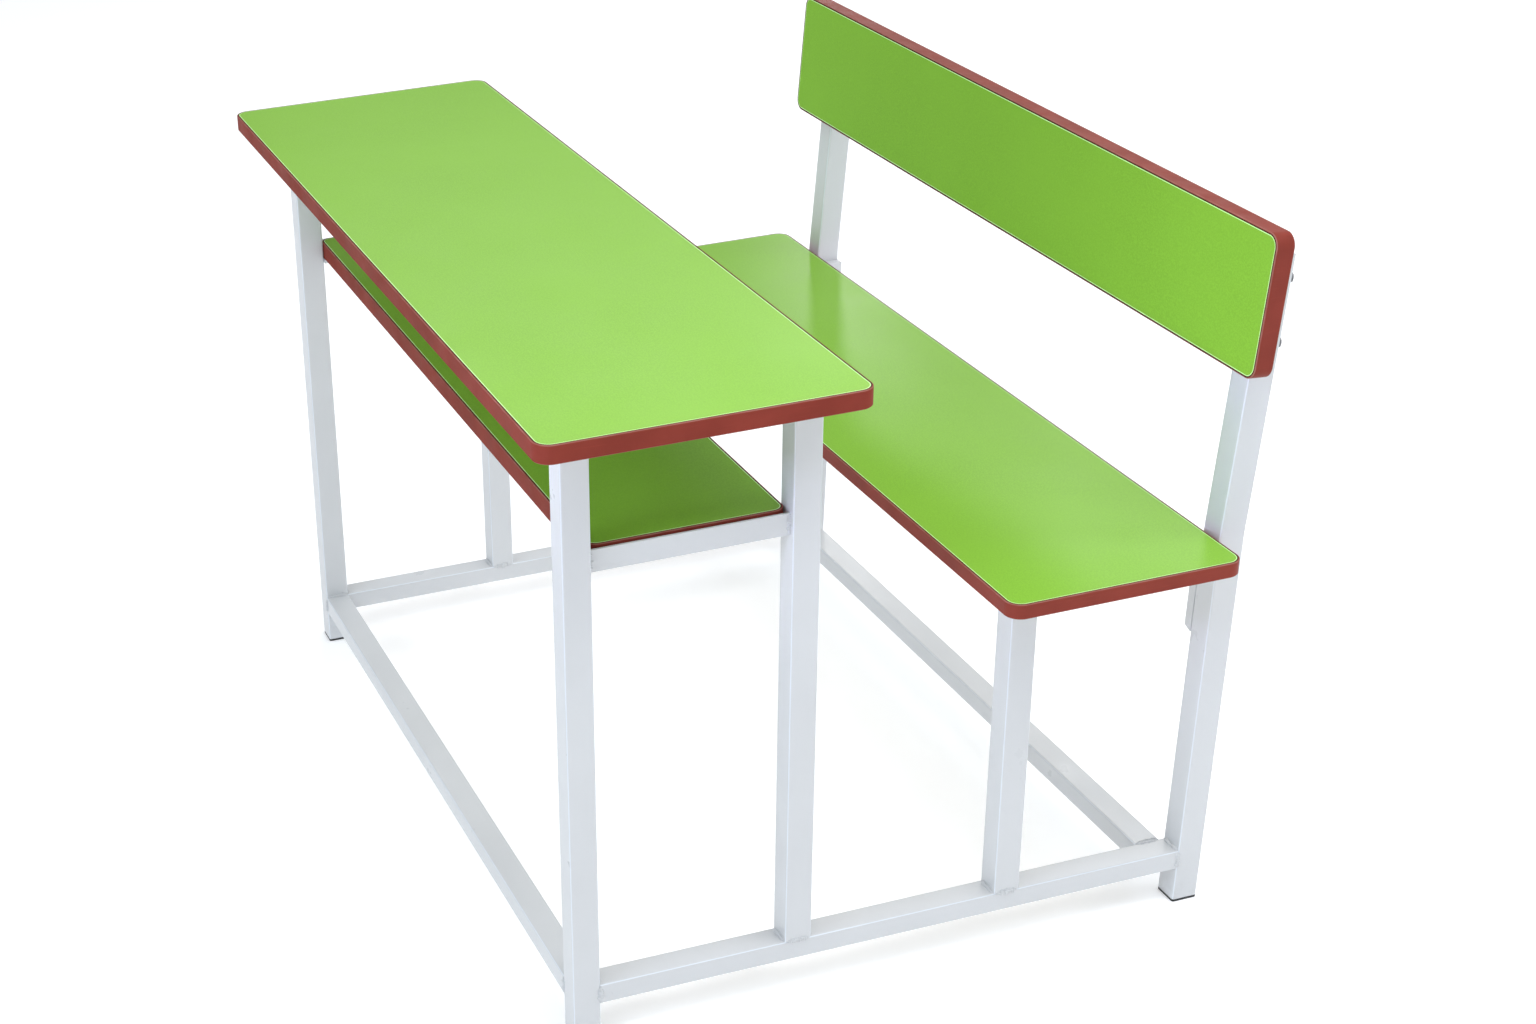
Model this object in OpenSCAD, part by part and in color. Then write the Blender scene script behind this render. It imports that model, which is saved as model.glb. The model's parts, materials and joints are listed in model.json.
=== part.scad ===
/* [Steel frame] */
// Length of the frame over the outer faces of its tubes
frame_l = 1052; // [900:1:1300]
// Side of the square leg and post tube
tube_w = 32; // [28:1:38]
// Wall of every tube
tube_wall = 1.6; // [1.2:0.1:2.5]
// Outer corner radius of every tube
tube_r = 2.4; // [2:0.2:4]
// Height of the flat rails, stretchers and bearers
rail_h = 25; // [20:1:35]
// Clear height under the side rails and stretchers
rail_clear = 46; // [35:1:90]
// Gap between the rear stretcher and the rear legs
rear_stretcher_gap = 6; // [3:1:40]
// Leg length of the triangular weld beads
weld_leg = 3; // [2:0.5:4]

/* [Desk] */
// Height of the desk surface
desk_h = 768; // [720:1:820]
// Overhang of each end of the desk top past the frame
desk_end_overhang = 82; // [40:1:120]
// Depth of the desk top
desk_d = 355; // [345:1:420]
// Thickness of the desk top
desk_t = 20.5; // [18:0.5:25]
// Overhang of the desk top in front of the front legs
desk_overhang = 50; // [30:1:60]
// Clear distance between a front leg and its desk rear post
desk_leg_gap = 222; // [200:1:230]

/* [Book shelf] */
// Height of the shelf surface
shelf_h = 606; // [560:1:640]
// Thickness of the shelf
shelf_t = 22.5; // [18:0.5:25]
// Gap between each end of the shelf and the upright leaf of its angle
shelf_end_gap = 1.2; // [0.5:0.1:2]
// Corner radius of the shelf
shelf_r = 14; // [13:1:25]
// Gap between the shelf and the legs or posts
shelf_gap = 0.5; // [0.5:0.5:4]
// Width of the level leaf of the shelf angles
angle_w = 30; // [28:1:36]
// Height of the upright leaf of the shelf angles
angle_h = 25; // [15:1:26]
// Thickness of the shelf angles
angle_t = 5; // [3:0.5:5]
// Radius of the rounded toe of an angle leaf
angle_toe_r = 2.5; // [1:0.25:2.8]
// Distance that the angles sit back from the outer face of the frame
angle_in = 7; // [0.5:0.5:10]
// Distance of the shelf screws from the toe of the level leaf
angle_screw_in = 8; // [7:0.5:9]

/* [Seat] */
// Height of the seat surface
seat_h = 482; // [420:1:520]
// Overhang of each end of the seat past the frame
seat_end_overhang = 64; // [40:1:90]
// Depth of the seat
seat_d = 281; // [260:1:380]
// Thickness of the seat
seat_t = 17.6; // [16.6:0.2:22]
// Overhang of the seat in front of its front posts
seat_overhang = 38; // [20:1:60]
// Clear distance between the desk rear posts and the seat front posts
knee_gap = 230; // [200:1:300]
// Gap between the rear edge of the seat and the rear legs
seat_rear_gap = 9; // [3:1:14]
// Width of the cleat on the inner side of each rear leg
cleat_w = 12; // [8:1:20]
// Height of the cleat
cleat_h = 118; // [60:1:150]
// Angle of the cut at the foot of the cleat
cleat_cut = 20; // [10:1:40]

/* [Backrest] */
// Overhang of each end of the backrest past the frame
back_end_overhang = 37; // [25:1:70]
// Width of the backrest board, measured along its slope
back_w = 160; // [130:1:250]
// Thickness of the backrest board
back_t = 22; // [20:0.5:25]
// Height of the lower edge of the backrest above the seat surface
back_gap = 196; // [120:1:260]
// Distance that the capped uprights reach past their upper bolts
upright_reach = 30; // [20:1:35]
// Lean of the backrest uprights
back_tilt = 4.5; // [3:0.5:12]
// Lean of the rear legs
leg_lean = 1.5; // [0.5:0.25:2.5]
// Depth below the seat surface at which the rear legs start to bend
bend_drop = 7; // [6:1:12]
// Centreline radius of the bend in the rear legs
bend_r = 150; // [90:5:300]

/* [Boards] */
// Corner radius of the desk top and the seat
corner_r = 18; // [14:1:35]
// Corner radius of the backrest
back_r = 15; // [13:1:30]
// Thickness of the decorative laminate and of the backing laminate
laminate_t = 0.9; // [0.6:0.1:1.2]
// Distance that the laminates are cut back from the edge of the core
laminate_in = 0.4; // [0.2:0.1:0.8]
// Thickness of the flange of the edge band
band_t = 2.4; // [1.5:0.1:3]
// Bevel along both outer edges of the band
band_bevel = 0.8; // [0.4:0.1:1.2]
// Depth of the barbed tongue of the band
tongue_d = 7; // [5:0.5:8]
// Thickness of the tongue
tongue_t = 1.8; // [1.4:0.1:2.4]
// Height of the barbs on the tongue
barb_h = 0.4; // [0.2:0.1:0.6]
// Number of barbs on each face of the tongue
barb_count = 3; // [2:1:4]
// Clearance around the band and its tongue
band_fit = 0.1; // [0.05:0.05:0.2]

/* [Plastic plugs] */
// Thickness of the head of a plug, which is the foot of a leg
plug_head_t = 3; // [2:0.5:6]
// Depth that a foot plug reaches into its leg
plug_d = 22; // [15:1:30]
// Gap between an upright's plug and its upper bolt
plug_bolt_gap = 4; // [2:0.5:6]
// Wall of a plug
plug_wall = 2; // [1.5:0.1:3]
// Clearance between a plug and the bore of its tube
plug_fit = 0.25; // [0.1:0.05:0.4]

/* [Fasteners] */
// Thread diameter of the backrest bolts
bolt_d = 8; // [6:1:8]
// Width across the flats of the bolt heads
bolt_af = 13; // [12:0.5:15]
// Height of the bolt heads
bolt_head_h = 5.3; // [4:0.1:6]
// Distance that the chamfer of a bolt head reaches into its flats
bolt_face_in = 0.4; // [0.2:0.1:0.8]
// Angle of that chamfer
bolt_chamfer = 30; // [15:5:45]
// Distance of the lower bolts from the lower edge of the backrest
bolt_edge = 22; // [20:1:32]
// Distance between the lower and the upper bolts
bolt_pitch = 73; // [60:1:80]
// Depth of the bolts in their inserts
bolt_grip = 11; // [8:0.5:12]
// Diameter of the flat washers
washer_d = 17; // [15:0.5:20]
// Thickness of the flat washers
washer_t = 1.6; // [1:0.1:2]
// Diameter of the spring washers
spring_d = 14; // [12.5:0.5:15]
// Thickness of the spring washers
spring_t = 2; // [1.5:0.1:2.5]
// Diameter of the threaded inserts
insert_d = 12; // [10.5:0.5:14]
// Length of the threaded inserts
insert_l = 14; // [13:0.5:15]
// Diameter of the board screws
screw_d = 4.8; // [4:0.1:5.5]
// Depth of the board screws in a board
screw_grip = 12; // [8:1:13]
// Diameter of the screw heads
screw_head_d = 9.5; // [8.5:0.5:11]
// Height of the screw heads
screw_head_h = 3; // [2:0.1:4]
// Diameter of the holes that let a screw into a bearer from below
access_d = 13; // [12:0.5:15]
// Distance from the outer screws to the ends of a bearer or angle
screw_end = 35; // [25:1:50]
// Number of screws along each bearer or angle
screw_count = 3; // [2:1:4]
// Radial clearance of bolts and screws in their holes
hole_fit = 0.1; // [0.05:0.05:0.3]
// Radial clearance of bolts and screws in the steel
steel_fit = 0.4; // [0.2:0.1:0.6]

/* [Hidden] */
$fn = 48;
// Facets of each round corner, and rings round the bend, of the swept rear legs
corner_steps = 6;
bend_steps = 8;
// Smallest corner radius of a bore, where the wall is as thick as the outer radius
bore_min_r = 0.3;

green = "#a0da64";
shaded_green = "#5f9132";
back_green = "#82ba3e";
red_brown = "#8c423a";
brown_board = "#b99a72";
grey_white = "#d9dde2";
cap_grey = "#c9cdd1";
black = "#1c1c1e";
zinc = "#a9adb2";

// Sides: the left hand of a pupil on the seat is at plus X
left = 1;
right = -1;

// Lengths of the boards
desk_l = frame_l + 2 * desk_end_overhang;
seat_l = frame_l + 2 * seat_end_overhang;
back_l = frame_l + 2 * back_end_overhang;

// Places along the depth, measured from the front edge of the desk top
front_leg_y = desk_overhang;
desk_post_y = front_leg_y + tube_w + desk_leg_gap;
seat_post_y = desk_post_y + tube_w + knee_gap;
seat_y = seat_post_y - seat_overhang;
seat_rear_y = seat_y + seat_d;

// Centreline of a rear leg: a leaning leg, an arc and a steeper upright
half_w = tube_w / 2;
bore_w = tube_w - 2 * tube_wall;
bore_r = max(tube_r - tube_wall, bore_min_r);
bend_y = seat_rear_y + seat_rear_gap + half_w / cos(leg_lean);
bend_c_y = bend_y + bend_r * cos(leg_lean);
bend_h = seat_h - bend_drop;
bend_c_z = bend_h - bend_r * sin(leg_lean);
upright_y = bend_c_y - bend_r * cos(back_tilt);
upright_z = bend_c_z + bend_r * sin(back_tilt);
foot_y = bend_y - bend_h * tan(leg_lean);

// The backrest board along the upright
back_low_z = seat_h + back_gap;
back_start = (back_low_z - upright_z - (half_w + back_t) * sin(back_tilt)) / cos(back_tilt);
bolt_places = [back_start + bolt_edge, back_start + bolt_edge + bolt_pitch];
upright_l = bolt_places[1] + upright_reach - plug_head_t;
upright_plug_d = upright_reach - plug_head_t - bolt_d / 2 - plug_bolt_gap;
bolt_stack = washer_t + spring_t + bolt_head_h;
bolt_corner_r = bolt_af / 2 / cos(30);
bolt_face_r = bolt_af / 2 - bolt_face_in;
bolt_l = tube_w + washer_t + spring_t + bolt_grip;

// Overall depth, from the desk top to the furthest of bolt head and upright plug
bolt_rear = (half_w + bolt_stack) * cos(back_tilt) + (bolt_places[1] + bolt_face_r) * sin(back_tilt);
plug_rear = half_w * cos(back_tilt) + (upright_l + plug_head_t) * sin(back_tilt);
depth = upright_y + max(bolt_rear, plug_rear);

// Levels
rail_top = rail_clear + rail_h;
desk_low_z = desk_h - desk_t;
seat_low_z = seat_h - seat_t;
shelf_low_z = shelf_h - shelf_t;
stretcher_l = frame_l - 2 * tube_w;
rear_stretcher_y = foot_y + rail_clear * tan(leg_lean) - half_w - rear_stretcher_gap - tube_w;

// The shelf fills the space between the front legs and the desk rear posts
shelf_l = frame_l - 2 * (angle_in + angle_t + shelf_end_gap);
shelf_d = desk_leg_gap - 2 * shelf_gap;
shelf_mid_y = front_leg_y + tube_w + desk_leg_gap / 2;

// Screw places, measured along a bearer or an angle
function screw_places(run) = [
    for (i = [0:screw_count - 1]) screw_end + i * (run - 2 * screw_end) / (screw_count - 1)
];
desk_screw_y = [for (p = screw_places(desk_leg_gap)) front_leg_y + tube_w + p];
seat_bearer_l = seat_rear_y - seat_post_y - tube_w;
seat_screw_y = [for (p = screw_places(seat_bearer_l)) seat_post_y + tube_w + p];
bearer_x = frame_l / 2 - half_w;
angle_screw_x = frame_l / 2 - angle_in - angle_w + angle_screw_in;

// A rectangle with round corners, centred on the origin
module round_rect(w, d, r) {
    square([w - 2 * r, d], center = true);
    square([w, d - 2 * r], center = true);
    for (x = [-1, 1]) {
        for (y = [-1, 1]) {
            translate([x * (w / 2 - r), y * (d / 2 - r)]) circle(r);
        }
    }
}

// The section of a hollow tube
module tube_section(w, h) {
    difference() {
        round_rect(w, h, tube_r);
        round_rect(w - 2 * tube_wall, h - 2 * tube_wall, bore_r);
    }
}

// A square tube that stands on the XY plane
module post_tube(l) {
    linear_extrude(l) tube_section(tube_w, tube_w);
}

// A flat tube that runs along plus Y with its top face at z = 0
module rail_tube(l) {
    translate([0, 0, -rail_h / 2]) rotate([-90, 0, 0]) linear_extrude(l) tube_section(tube_w, rail_h);
}

// Moves from the front edge of the desk top to the middle of the whole piece
module centred() {
    translate([0, -depth / 2, 0]) children();
}

// Puts children on one side, with x = 0 in the middle of that side's tubes
module at_side(side) {
    centred() mirror([side == left ? 0 : 1, 0, 0]) translate([bearer_x, 0, 0]) children();
}

module at_both_sides() {
    for (side = [left, right]) {
        at_side(side) children();
    }
}

// The frame of an upright: y = 0 on its centreline, z runs up along it
module along_upright() {
    translate([0, upright_y, upright_z]) rotate([-back_tilt, 0, 0]) children();
}

// The space behind the front face of the lower part of a rear leg
module behind_leg_face() {
    big = desk_h;
    translate([0, bend_y, bend_h]) rotate([-leg_lean, 0, 0]) translate([-big / 2, -half_w, -big]) cube(big);
}

// Board parts, centred in X and Y with the lower face at z = 0
module outline(l, d, r, inset) {
    round_rect(l - 2 * inset, d - 2 * inset, r - inset);
}

module board_core(l, d, t, r) {
    edge = band_t + band_fit;
    translate([0, 0, laminate_t]) linear_extrude(t - 2 * laminate_t) outline(l, d, r, edge);
}

module board_groove(l, d, t, r) {
    groove_h = tongue_t + 2 * barb_h + 2 * band_fit;
    translate([0, 0, (t - groove_h) / 2]) linear_extrude(groove_h) difference() {
        outline(l, d, r, 0);
        outline(l, d, r, band_t + tongue_d + band_fit);
    }
}

module grooved_core(l, d, t, r) {
    difference() {
        board_core(l, d, t, r);
        board_groove(l, d, t, r);
    }
}

module board_sheet(l, d, r, z) {
    translate([0, 0, z]) linear_extrude(laminate_t) outline(l, d, r, band_t + band_fit + laminate_in);
}

// Half of the barbed outline of the tongue, from its root to its tip
barb_pitch = tongue_d / (barb_count + 0.5);
barbs = [
    for (i = [0:barb_count - 1]) each [
        [-band_t - (i + 0.5) * barb_pitch, tongue_t / 2],
        [-band_t - (i + 0.5) * barb_pitch, tongue_t / 2 + barb_h],
        [-band_t - (i + 1.5) * barb_pitch, tongue_t / 2]
    ]
];

// The section of the edge band, with x = 0 on the outline of the board
module band_section(t) {
    half = t / 2;
    upper = concat(
        [[0, half - band_bevel], [-band_bevel, half], [-band_t, half], [-band_t, tongue_t / 2]],
        barbs
    );
    count = len(upper);
    lower = [for (i = [count - 1:-1:0]) [upper[i][0], -upper[i][1]]];
    translate([0, half]) polygon(concat(upper, lower));
}

module edge_band(l, d, t, r) {
    for (corner = [0:3]) {
        side_x = corner == 0 || corner == 3 ? 1 : -1;
        side_y = corner < 2 ? 1 : -1;
        run = corner % 2 == 0 ? d - 2 * r : l - 2 * r;
        translate([side_x * (l / 2 - r), side_y * (d / 2 - r), 0]) rotate([0, 0, 90 * corner]) {
            rotate_extrude(angle = 90) translate([r, 0]) band_section(t);
            translate([r, 0, 0]) rotate([90, 0, 0]) linear_extrude(run) band_section(t);
        }
    }
}

// Places of the four boards
module at_desk_top() {
    centred() translate([0, desk_d / 2, desk_low_z]) children();
}

module at_shelf() {
    centred() translate([0, shelf_mid_y, shelf_low_z]) children();
}

module at_seat() {
    centred() translate([0, seat_y + seat_d / 2, seat_low_z]) children();
}

// The backrest lies against the front of the uprights, with its green face forward
module at_backrest() {
    centred() along_upright() translate([0, -half_w, back_start + back_w / 2]) rotate([90, 0, 0]) children();
}

// Holes for screws or inserts that go up into a board from z = 0
module pilot_holes(places, x, r, deep, mid_y) {
    for (side = [left, right]) {
        for (y = places) {
            translate([side * x, y - mid_y, -1]) cylinder(h = deep + 1, r = r);
        }
    }
}

screw_hole_r = screw_d / 2 + hole_fit;
screw_tip_gap = 0.5;
insert_hole_r = insert_d / 2 + hole_fit;

// Desk top
module desk_top_core() {
    color(brown_board) at_desk_top() difference() {
        grooved_core(desk_l, desk_d, desk_t, corner_r);
        pilot_holes(desk_screw_y, bearer_x, screw_hole_r, screw_grip + screw_tip_gap, desk_d / 2);
    }
}

module desk_top_laminate() {
    color(green) at_desk_top() board_sheet(desk_l, desk_d, corner_r, desk_t - laminate_t);
}

module desk_top_backer() {
    color(brown_board) at_desk_top() difference() {
        board_sheet(desk_l, desk_d, corner_r, 0);
        pilot_holes(desk_screw_y, bearer_x, screw_hole_r, screw_grip, desk_d / 2);
    }
}

module desk_top_edge_band() {
    color(red_brown) at_desk_top() edge_band(desk_l, desk_d, desk_t, corner_r);
}

// Book shelf
module shelf_core() {
    color(brown_board) at_shelf() difference() {
        grooved_core(shelf_l, shelf_d, shelf_t, shelf_r);
        pilot_holes(desk_screw_y, angle_screw_x, screw_hole_r, screw_grip + screw_tip_gap, shelf_mid_y);
    }
}

module shelf_laminate() {
    color(shaded_green) at_shelf() board_sheet(shelf_l, shelf_d, shelf_r, shelf_t - laminate_t);
}

module shelf_backer() {
    color(brown_board) at_shelf() difference() {
        board_sheet(shelf_l, shelf_d, shelf_r, 0);
        pilot_holes(desk_screw_y, angle_screw_x, screw_hole_r, screw_grip, shelf_mid_y);
    }
}

module shelf_edge_band() {
    color(red_brown) at_shelf() edge_band(shelf_l, shelf_d, shelf_t, shelf_r);
}

// Seat
module seat_core() {
    color(brown_board) at_seat() difference() {
        grooved_core(seat_l, seat_d, seat_t, corner_r);
        pilot_holes(seat_screw_y, bearer_x, screw_hole_r, screw_grip + screw_tip_gap, seat_y + seat_d / 2);
    }
}

module seat_laminate() {
    color(green) at_seat() board_sheet(seat_l, seat_d, corner_r, seat_t - laminate_t);
}

module seat_backer() {
    color(brown_board) at_seat() difference() {
        board_sheet(seat_l, seat_d, corner_r, 0);
        pilot_holes(seat_screw_y, bearer_x, screw_hole_r, screw_grip, seat_y + seat_d / 2);
    }
}

module seat_edge_band() {
    color(red_brown) at_seat() edge_band(seat_l, seat_d, seat_t, corner_r);
}

// Backrest
module backrest_holes(r, deep) {
    pilot_holes(bolt_places, bearer_x, r, deep, back_start + back_w / 2);
}

module backrest_core() {
    color(brown_board) at_backrest() difference() {
        grooved_core(back_l, back_w, back_t, back_r);
        backrest_holes(insert_hole_r, insert_l);
    }
}

module backrest_laminate() {
    color(back_green) at_backrest() board_sheet(back_l, back_w, back_r, back_t - laminate_t);
}

module backrest_backer() {
    color(brown_board) at_backrest() difference() {
        board_sheet(back_l, back_w, back_r, 0);
        backrest_holes(insert_hole_r, insert_l);
    }
}

module backrest_edge_band() {
    color(red_brown) at_backrest() edge_band(back_l, back_w, back_t, back_r);
}

// Legs and posts
module desk_front_leg(side) {
    color(grey_white) at_side(side) translate([0, front_leg_y + half_w, plug_head_t]) {
        post_tube(desk_low_z - plug_head_t);
    }
}

module desk_rear_post(side) {
    color(grey_white) at_side(side) translate([0, desk_post_y + half_w, rail_top]) {
        post_tube(desk_low_z - rail_top);
    }
}

module seat_front_post(side) {
    color(grey_white) at_side(side) translate([0, seat_post_y + half_w, rail_top]) {
        post_tube(seat_low_z - rail_top);
    }
}

// The rear leg and backrest upright are one bent tube: a square section with round
// corners, swept from a level cut above the foot plug, up the leg, round the bend and
// up the upright. A station is a place in the plane of the bend and a lean there.
function section_ring(w, r) = [
    for (q = [0:3]) for (i = [0:corner_steps]) let(
        turn = 90 * (q + i / corner_steps),
        side_x = q == 0 || q == 3 ? 1 : -1,
        side_y = q < 2 ? 1 : -1
    ) [side_x * (w / 2 - r) + r * cos(turn), side_y * (w / 2 - r) + r * sin(turn)]
];

function level_ring(ring, z) = [
    for (p = ring) [p[0], foot_y + z * tan(leg_lean) + p[1] / cos(leg_lean), z]
];

function square_ring(ring, y, z, lean) = [
    for (p = ring) [p[0], y + p[1] * cos(lean), z - p[1] * sin(lean)]
];

module bent_bar(w, r, low_z, top) {
    ring = section_ring(w, r);
    n = len(ring);
    bend_rings = [
        for (i = [0:bend_steps]) let(lean = leg_lean + i * (back_tilt - leg_lean) / bend_steps)
            square_ring(ring, bend_c_y - bend_r * cos(lean), bend_c_z + bend_r * sin(lean), lean)
    ];
    top_y = upright_y + top * sin(back_tilt);
    top_z = upright_z + top * cos(back_tilt);
    rings = concat([level_ring(ring, low_z)], bend_rings, [square_ring(ring, top_y, top_z, back_tilt)]);
    last = len(rings) - 1;
    sides = [
        for (k = [0:last - 1]) for (i = [0:n - 1]) let(j = (i + 1) % n)
            [k * n + i, (k + 1) * n + i, (k + 1) * n + j, k * n + j]
    ];
    ends = [[for (i = [0:n - 1]) i], [for (i = [n - 1:-1:0]) last * n + i]];
    polyhedron(points = [for (layer = rings) each layer], faces = concat(sides, ends));
}

module bolt_holes() {
    for (z = bolt_places) {
        translate([0, tube_w, z]) rotate([90, 0, 0]) cylinder(h = 2 * tube_w, r = bolt_d / 2 + steel_fit);
    }
}

module rear_leg(side) {
    color(grey_white) at_side(side) difference() {
        bent_bar(tube_w, tube_r, plug_head_t, upright_l);
        bent_bar(bore_w, bore_r, plug_head_t - 1, upright_l + 1);
        along_upright() bolt_holes();
    }
}

// Rails, bearers and stretchers
module side_rail(side) {
    start = front_leg_y + tube_w;
    color(grey_white) at_side(side) difference() {
        translate([0, start, rail_top]) rail_tube(bend_y - start);
        behind_leg_face();
    }
}

// Holes up through a bearer: wide below for the screw head, narrow above
module bearer_holes(places) {
    for (y = places) {
        translate([0, y, -rail_h - 1]) cylinder(h = tube_wall + 2, d = access_d);
        translate([0, y, -rail_h / 2]) cylinder(h = rail_h, r = screw_d / 2 + steel_fit);
    }
}

module desk_bearer(side) {
    start = front_leg_y + tube_w;
    color(grey_white) at_side(side) translate([0, 0, desk_low_z]) difference() {
        translate([0, start, 0]) rail_tube(desk_leg_gap);
        bearer_holes(desk_screw_y);
    }
}

module seat_bearer(side) {
    start = seat_post_y + tube_w;
    color(grey_white) at_side(side) difference() {
        translate([0, start, seat_low_z]) rail_tube(bend_y - start);
        behind_leg_face();
        translate([0, 0, seat_low_z]) bearer_holes(seat_screw_y);
    }
}

// Section of a shelf angle: the upright leaf is outside, the level leaf carries the shelf
module angle_section() {
    round = angle_toe_r;
    square([angle_t, angle_h - round]);
    square([angle_w - round, angle_t]);
    square([angle_t - round, angle_h]);
    square([angle_w, angle_t - round]);
    intersection() {
        square([angle_t, angle_h]);
        translate([angle_t - round, angle_h - round]) circle(round);
    }
    intersection() {
        square([angle_w, angle_t]);
        translate([angle_w - round, angle_t - round]) circle(round);
    }
}

module shelf_angle(side) {
    start = front_leg_y + tube_w;
    color(grey_white) at_side(side) difference() {
        translate([half_w - angle_in, start, shelf_low_z - angle_t]) {
            rotate([-90, 0, 0]) linear_extrude(desk_leg_gap) rotate(180) angle_section();
        }
        for (y = desk_screw_y) {
            translate([angle_screw_x - bearer_x, y, shelf_low_z - 2 * angle_t]) {
                cylinder(h = 2 * angle_t, r = screw_d / 2 + steel_fit);
            }
        }
    }
}

// A short bar on the inner side of the rear leg, under the seat, with a slanted foot
module seat_cleat(side) {
    low = seat_low_z - cleat_h;
    color(grey_white) at_side(side) difference() {
        translate([-half_w - cleat_w, bend_y, bend_h]) rotate([-leg_lean, 0, 0]) {
            translate([0, -half_w, low - bend_h]) cube([cleat_w, tube_w, cleat_h]);
        }
        translate([-half_w, 0, low]) rotate([0, cleat_cut, 0]) {
            translate([-2 * tube_w, 0, -2 * tube_w]) cube([3 * tube_w, depth, 2 * tube_w]);
        }
    }
}

module front_stretcher() {
    color(grey_white) centred() translate([-stretcher_l / 2, front_leg_y + half_w, rail_top]) {
        rotate([0, 0, -90]) rail_tube(stretcher_l);
    }
}

module rear_stretcher() {
    color(grey_white) centred() translate([-stretcher_l / 2, rear_stretcher_y + half_w, rail_top]) {
        rotate([0, 0, -90]) rail_tube(stretcher_l);
    }
}

// A weld bead across the flat of a tube, in a corner that opens towards plus Y and plus Z.
// Its upright face leans away by an angle, to lie against a leaning tube.
flat_w = tube_w - 2 * tube_r;
module bead(lean = 0) {
    rotate([90, 0, 90]) linear_extrude(flat_w, center = true) {
        polygon([[0, 0], [weld_leg, 0], [-weld_leg * sin(lean), weld_leg * cos(lean)]]);
    }
}

// Beads that open towards the front, and beads that hang under a tube
module front_bead(lean = 0) {
    mirror([0, 1, 0]) bead(lean);
}

module under(z) {
    translate([0, 0, z]) mirror([0, 0, 1]) children();
}

// Beads before and behind the foot of a post that stands on the side rail
module post_beads(y) {
    translate([0, y + tube_w, rail_top]) bead();
    translate([0, y, rail_top]) front_bead();
}

// Place along the depth of the front face of a rear leg at a height below its bend
function leg_face_y(z) = bend_y - half_w / cos(leg_lean) - (bend_h - z) * tan(leg_lean);

// Beads over and under the inner end of a stretcher
module stretcher_beads(y) {
    translate([-half_w, y + half_w, rail_top]) rotate([0, 0, 90]) bead();
    translate([-half_w, y + half_w, 0]) under(rail_clear) rotate([0, 0, 90]) bead();
}

module weld_beads(side) {
    leg_rear = front_leg_y + tube_w;
    desk_bearer_z = desk_low_z - rail_h;
    seat_bearer_z = seat_low_z - rail_h;
    color(grey_white) at_side(side) {
        post_beads(desk_post_y);
        post_beads(seat_post_y);
        translate([0, leg_rear, rail_top]) bead();
        translate([0, leg_rear, 0]) under(rail_clear) bead();
        translate([0, leg_face_y(rail_top), rail_top]) front_bead(leg_lean);
        translate([0, leg_face_y(rail_clear), 0]) under(rail_clear) front_bead(-leg_lean);
        translate([0, leg_rear, 0]) under(desk_bearer_z) bead();
        translate([0, desk_post_y, 0]) under(desk_bearer_z) front_bead();
        translate([0, seat_post_y + tube_w, 0]) under(seat_bearer_z) bead();
        translate([0, leg_face_y(seat_bearer_z), 0]) under(seat_bearer_z) front_bead(-leg_lean);
        stretcher_beads(front_leg_y);
        stretcher_beads(rear_stretcher_y);
    }
}

// A plug with its head at z = 0 and its hollow shank above, closed by the head
module plug(shank_l, lean) {
    shank_w = bore_w - 2 * plug_fit;
    linear_extrude(plug_head_t) round_rect(tube_w, tube_w, tube_r);
    translate([0, 0, plug_head_t]) rotate([-lean, 0, 0]) translate([0, 0, -plug_head_t / 2]) difference() {
        linear_extrude(shank_l + plug_head_t / 2) round_rect(shank_w, shank_w, bore_r);
        translate([0, 0, plug_head_t / 2]) {
            linear_extrude(shank_l + 1) square(shank_w - 2 * plug_wall, center = true);
        }
    }
}

module foot_plugs() {
    color(black) at_both_sides() {
        translate([0, front_leg_y + half_w, 0]) plug(plug_d, 0);
        translate([0, foot_y + plug_head_t * tan(leg_lean), 0]) plug(plug_d, leg_lean);
    }
}

module upright_plugs() {
    color(cap_grey) at_both_sides() along_upright() {
        translate([0, 0, upright_l + plug_head_t]) mirror([0, 0, 1]) plug(upright_plug_d, 0);
    }
}

// A pan-head screw that points up, with its head seat at z = 0
module screw(grip) {
    dome = screw_head_h / 2;
    rotate_extrude() {
        square([screw_d / 2, grip - screw_d / 2]);
        polygon([[0, grip - screw_d / 2], [screw_d / 2, grip - screw_d / 2], [0, grip]]);
        translate([0, -dome]) square([screw_head_d / 2, dome]);
        translate([0, -screw_head_h]) square([screw_head_d / 2 - dome, screw_head_h]);
        translate([screw_head_d / 2 - dome, -dome]) circle(dome);
    }
}

module screws_at(places, x, seat_z, steel_t) {
    color(zinc) at_both_sides() for (y = places) {
        translate([x, y, seat_z]) screw(steel_t + screw_grip);
    }
}

module desk_screws() {
    screws_at(desk_screw_y, 0, desk_low_z - tube_wall, tube_wall);
}

module seat_screws() {
    screws_at(seat_screw_y, 0, seat_low_z - tube_wall, tube_wall);
}

module shelf_screws() {
    screws_at(desk_screw_y, angle_screw_x - bearer_x, shelf_low_z - angle_t, angle_t);
}

// Children at each backrest bolt, with z = 0 on the rear face of the upright
module at_bolts() {
    at_both_sides() along_upright() for (z = bolt_places) {
        translate([0, half_w, z]) rotate([-90, 0, 0]) children();
    }
}

module ring(outer_d, inner_d, t) {
    difference() {
        cylinder(h = t, d = outer_d);
        translate([0, 0, -1]) cylinder(h = t + 2, d = inner_d);
    }
}

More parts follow.
